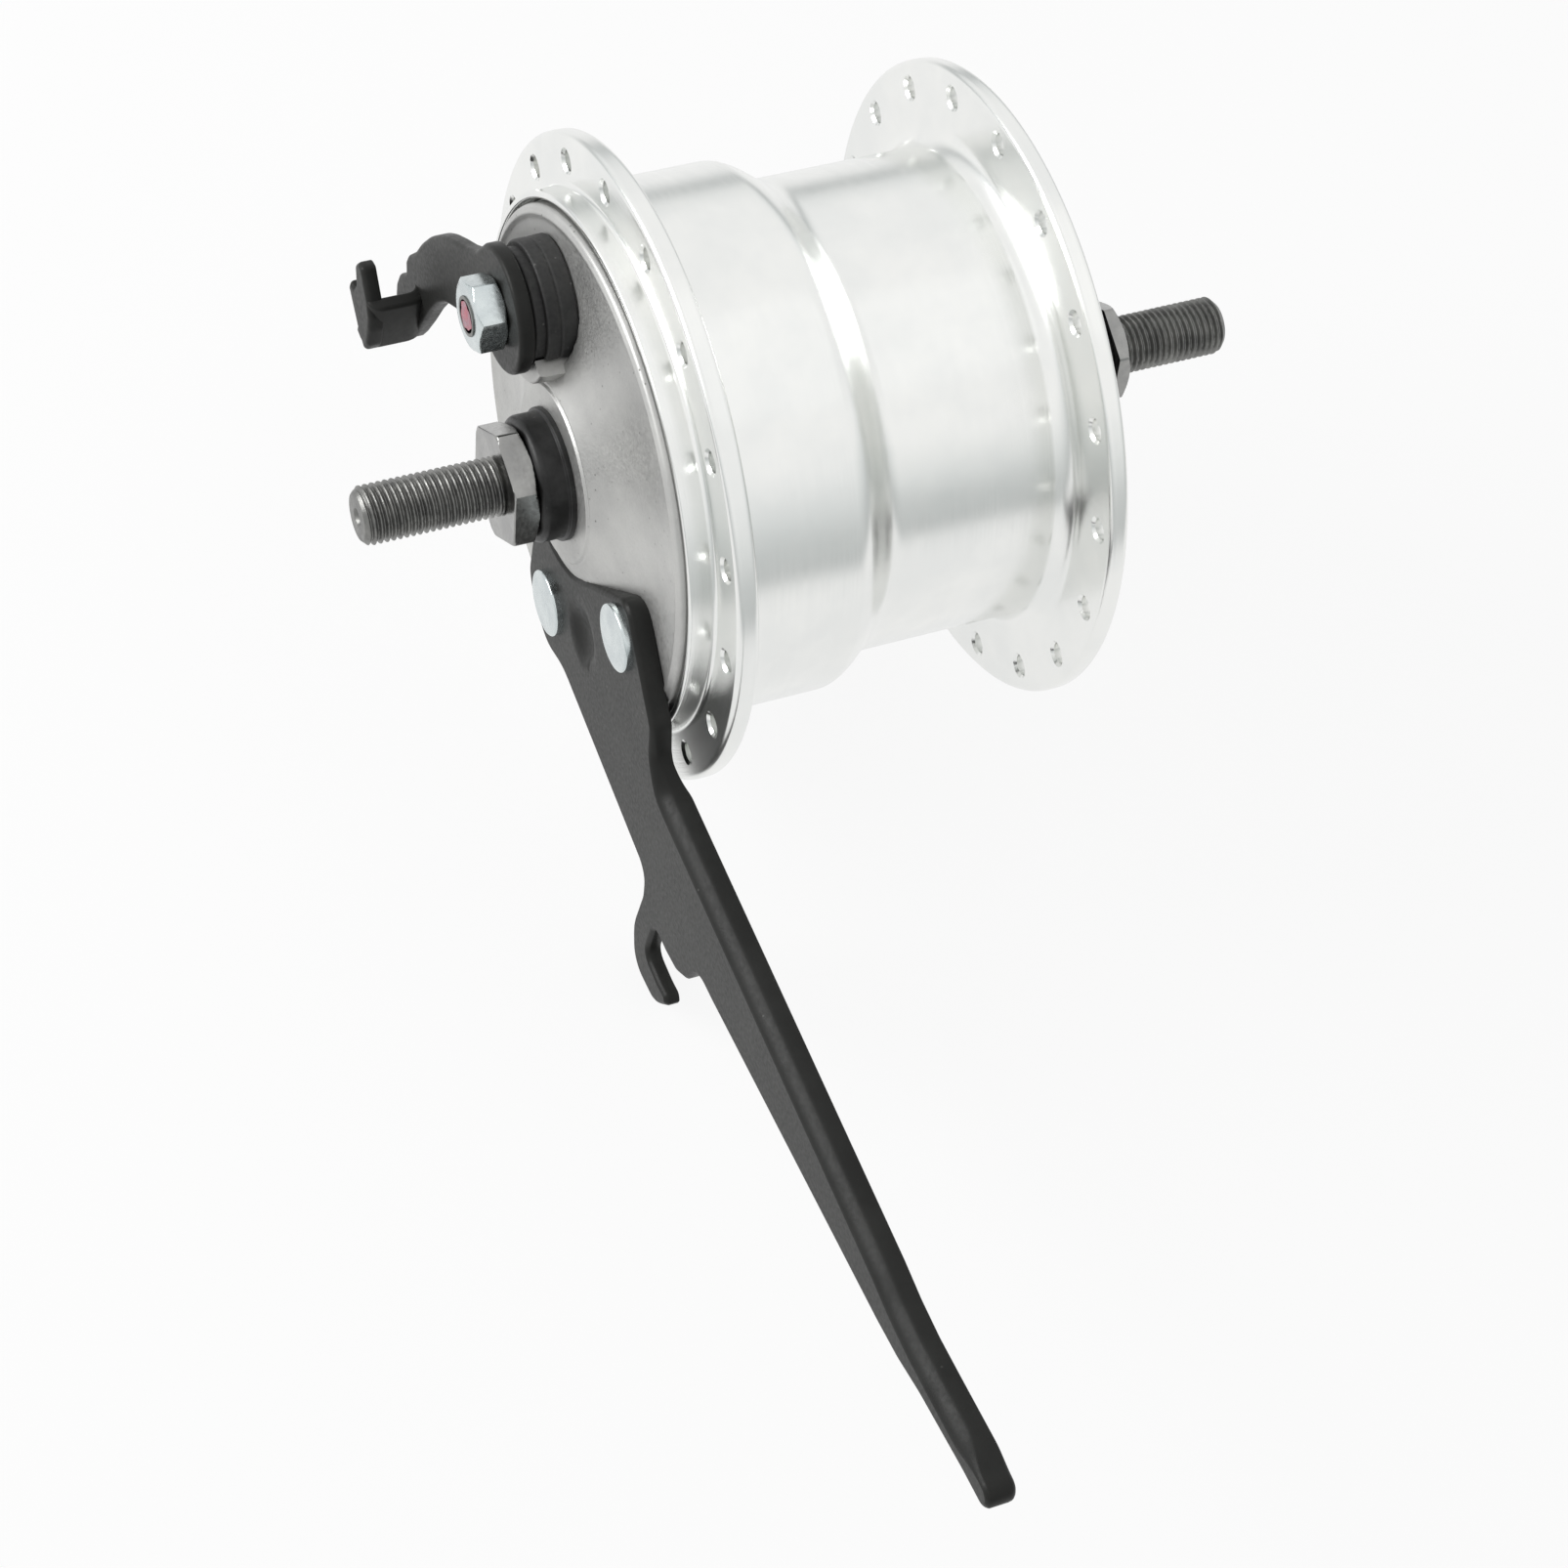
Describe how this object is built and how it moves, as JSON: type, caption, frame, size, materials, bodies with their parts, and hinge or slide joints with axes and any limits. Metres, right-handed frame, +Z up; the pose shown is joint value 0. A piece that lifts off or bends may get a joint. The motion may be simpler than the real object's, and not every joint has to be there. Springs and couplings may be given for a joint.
{
  "type": "hub dynamo",
  "caption": "Front bicycle hub with a polished aluminium shell, a dynamo at one end, a drum brake at the other, a long dark reaction arm and a cable lever",
  "frame": {"origin": "on the axle axis, midway between the outer faces of the two locknuts", "axes": "+Y along the axle from the brake side to the dynamo side, +X towards the tip of the reaction arm, +Z up"},
  "size_m": [0.2167, 0.139, 0.1023],
  "materials": {
    "polished_aluminium": "polished",
    "cast_aluminium": "satin",
    "black_paint": "satin",
    "black_steel": "satin",
    "zinc_steel": "polished",
    "axle_steel": "satin",
    "bearing_steel": "polished",
    "core_iron": "matte",
    "magnet": "matte",
    "bronze": "satin",
    "copper_wire": "satin",
    "lead_insulation": "matte",
    "black_plastic": "matte",
    "black_rubber": "matte",
    "brake_lining": "matte"
  },
  "bodies": {
    "fixed": {"axle": "axle_steel", "left_locknut": "zinc_steel", "left_spacer": "black_steel", "brake_plate": "cast_aluminium", "reaction_arm": "black_paint", "arm_rivets": "zinc_steel", "anchor_pin": "bearing_steel", "cam_bush": "bronze", "cam_boot": "black_rubber", "left_sleeve": "bearing_steel", "left_inner_race": "bearing_steel", "left_stator_spacer": "bearing_steel", "stator_core": "core_iron", "left_claw_pole": "core_iron", "right_claw_pole": "core_iron", "coil_bobbin": "black_plastic", "coil_winding": "copper_wire", "coil_leads": "lead_insulation", "right_stator_spacer": "bearing_steel", "right_inner_race": "bearing_steel", "right_sleeve": "bearing_steel", "connector_housing": "black_plastic", "terminal_blades": "bronze", "right_washer": "black_steel", "right_locknut": "axle_steel", "shoe_spring": "bearing_steel"},
    "hub": {"hub_shell": "polished_aluminium", "drum_liner": "core_iron", "left_outer_race": "bearing_steel", "left_shields": "black_steel", "right_outer_race": "bearing_steel", "right_shields": "black_steel", "rotor_yoke": "core_iron", "rotor_magnets": "magnet", "end_cover": "polished_aluminium"},
    "left_ball_set": {"left_balls": "bearing_steel", "left_cage": "bronze"},
    "right_ball_set": {"right_balls": "bearing_steel", "right_cage": "bronze"},
    "lever": {"cam_spindle": "axle_steel", "brake_lever": "black_paint", "lever_nut": "zinc_steel"},
    "upper_brake_shoe": {"upper_shoe": "cast_aluminium", "upper_lining": "brake_lining"},
    "lower_brake_shoe": {"lower_shoe": "cast_aluminium", "lower_lining": "brake_lining"}
  },
  "joints": [
    {"name": "hub_spin", "type": "hinge", "parent": "fixed", "child": "hub", "pos_m": [0, 0, 0], "axis": [0, 1, 0], "continuous": true},
    {"name": "left_balls_roll", "type": "hinge", "parent": "fixed", "child": "left_ball_set", "pos_m": [0, 0, 0], "axis": [0, 1, 0], "continuous": true},
    {"name": "right_balls_roll", "type": "hinge", "parent": "fixed", "child": "right_ball_set", "pos_m": [0, 0, 0], "axis": [0, 1, 0], "continuous": true},
    {"name": "lever_pull", "type": "hinge", "parent": "fixed", "child": "lever", "pos_m": [-0.01742, -0.045, 0.01869], "axis": [0, -1, 0], "range_deg": [0, 16], "stiffness_Nm_per_rad": 1, "springref_deg": -8.59},
    {"name": "upper_shoe_open", "type": "hinge", "parent": "fixed", "child": "upper_brake_shoe", "pos_m": [0.01719, -0.022, -0.01843], "axis": [0, 1, 0], "range_deg": [0, 1.1]},
    {"name": "lower_shoe_open", "type": "hinge", "parent": "fixed", "child": "lower_brake_shoe", "pos_m": [0.01719, -0.022, -0.01843], "axis": [0, -1, 0], "range_deg": [0, 1.1]}
  ],
  "couplings": [
    {"joint": "left_balls_roll", "follows": "hub_spin", "ratio": 0.619},
    {"joint": "right_balls_roll", "follows": "hub_spin", "ratio": 0.619},
    {"joint": "upper_shoe_open", "follows": "lever_pull", "ratio": 0.0625},
    {"joint": "lower_shoe_open", "follows": "lever_pull", "ratio": 0.0625}
  ]
}
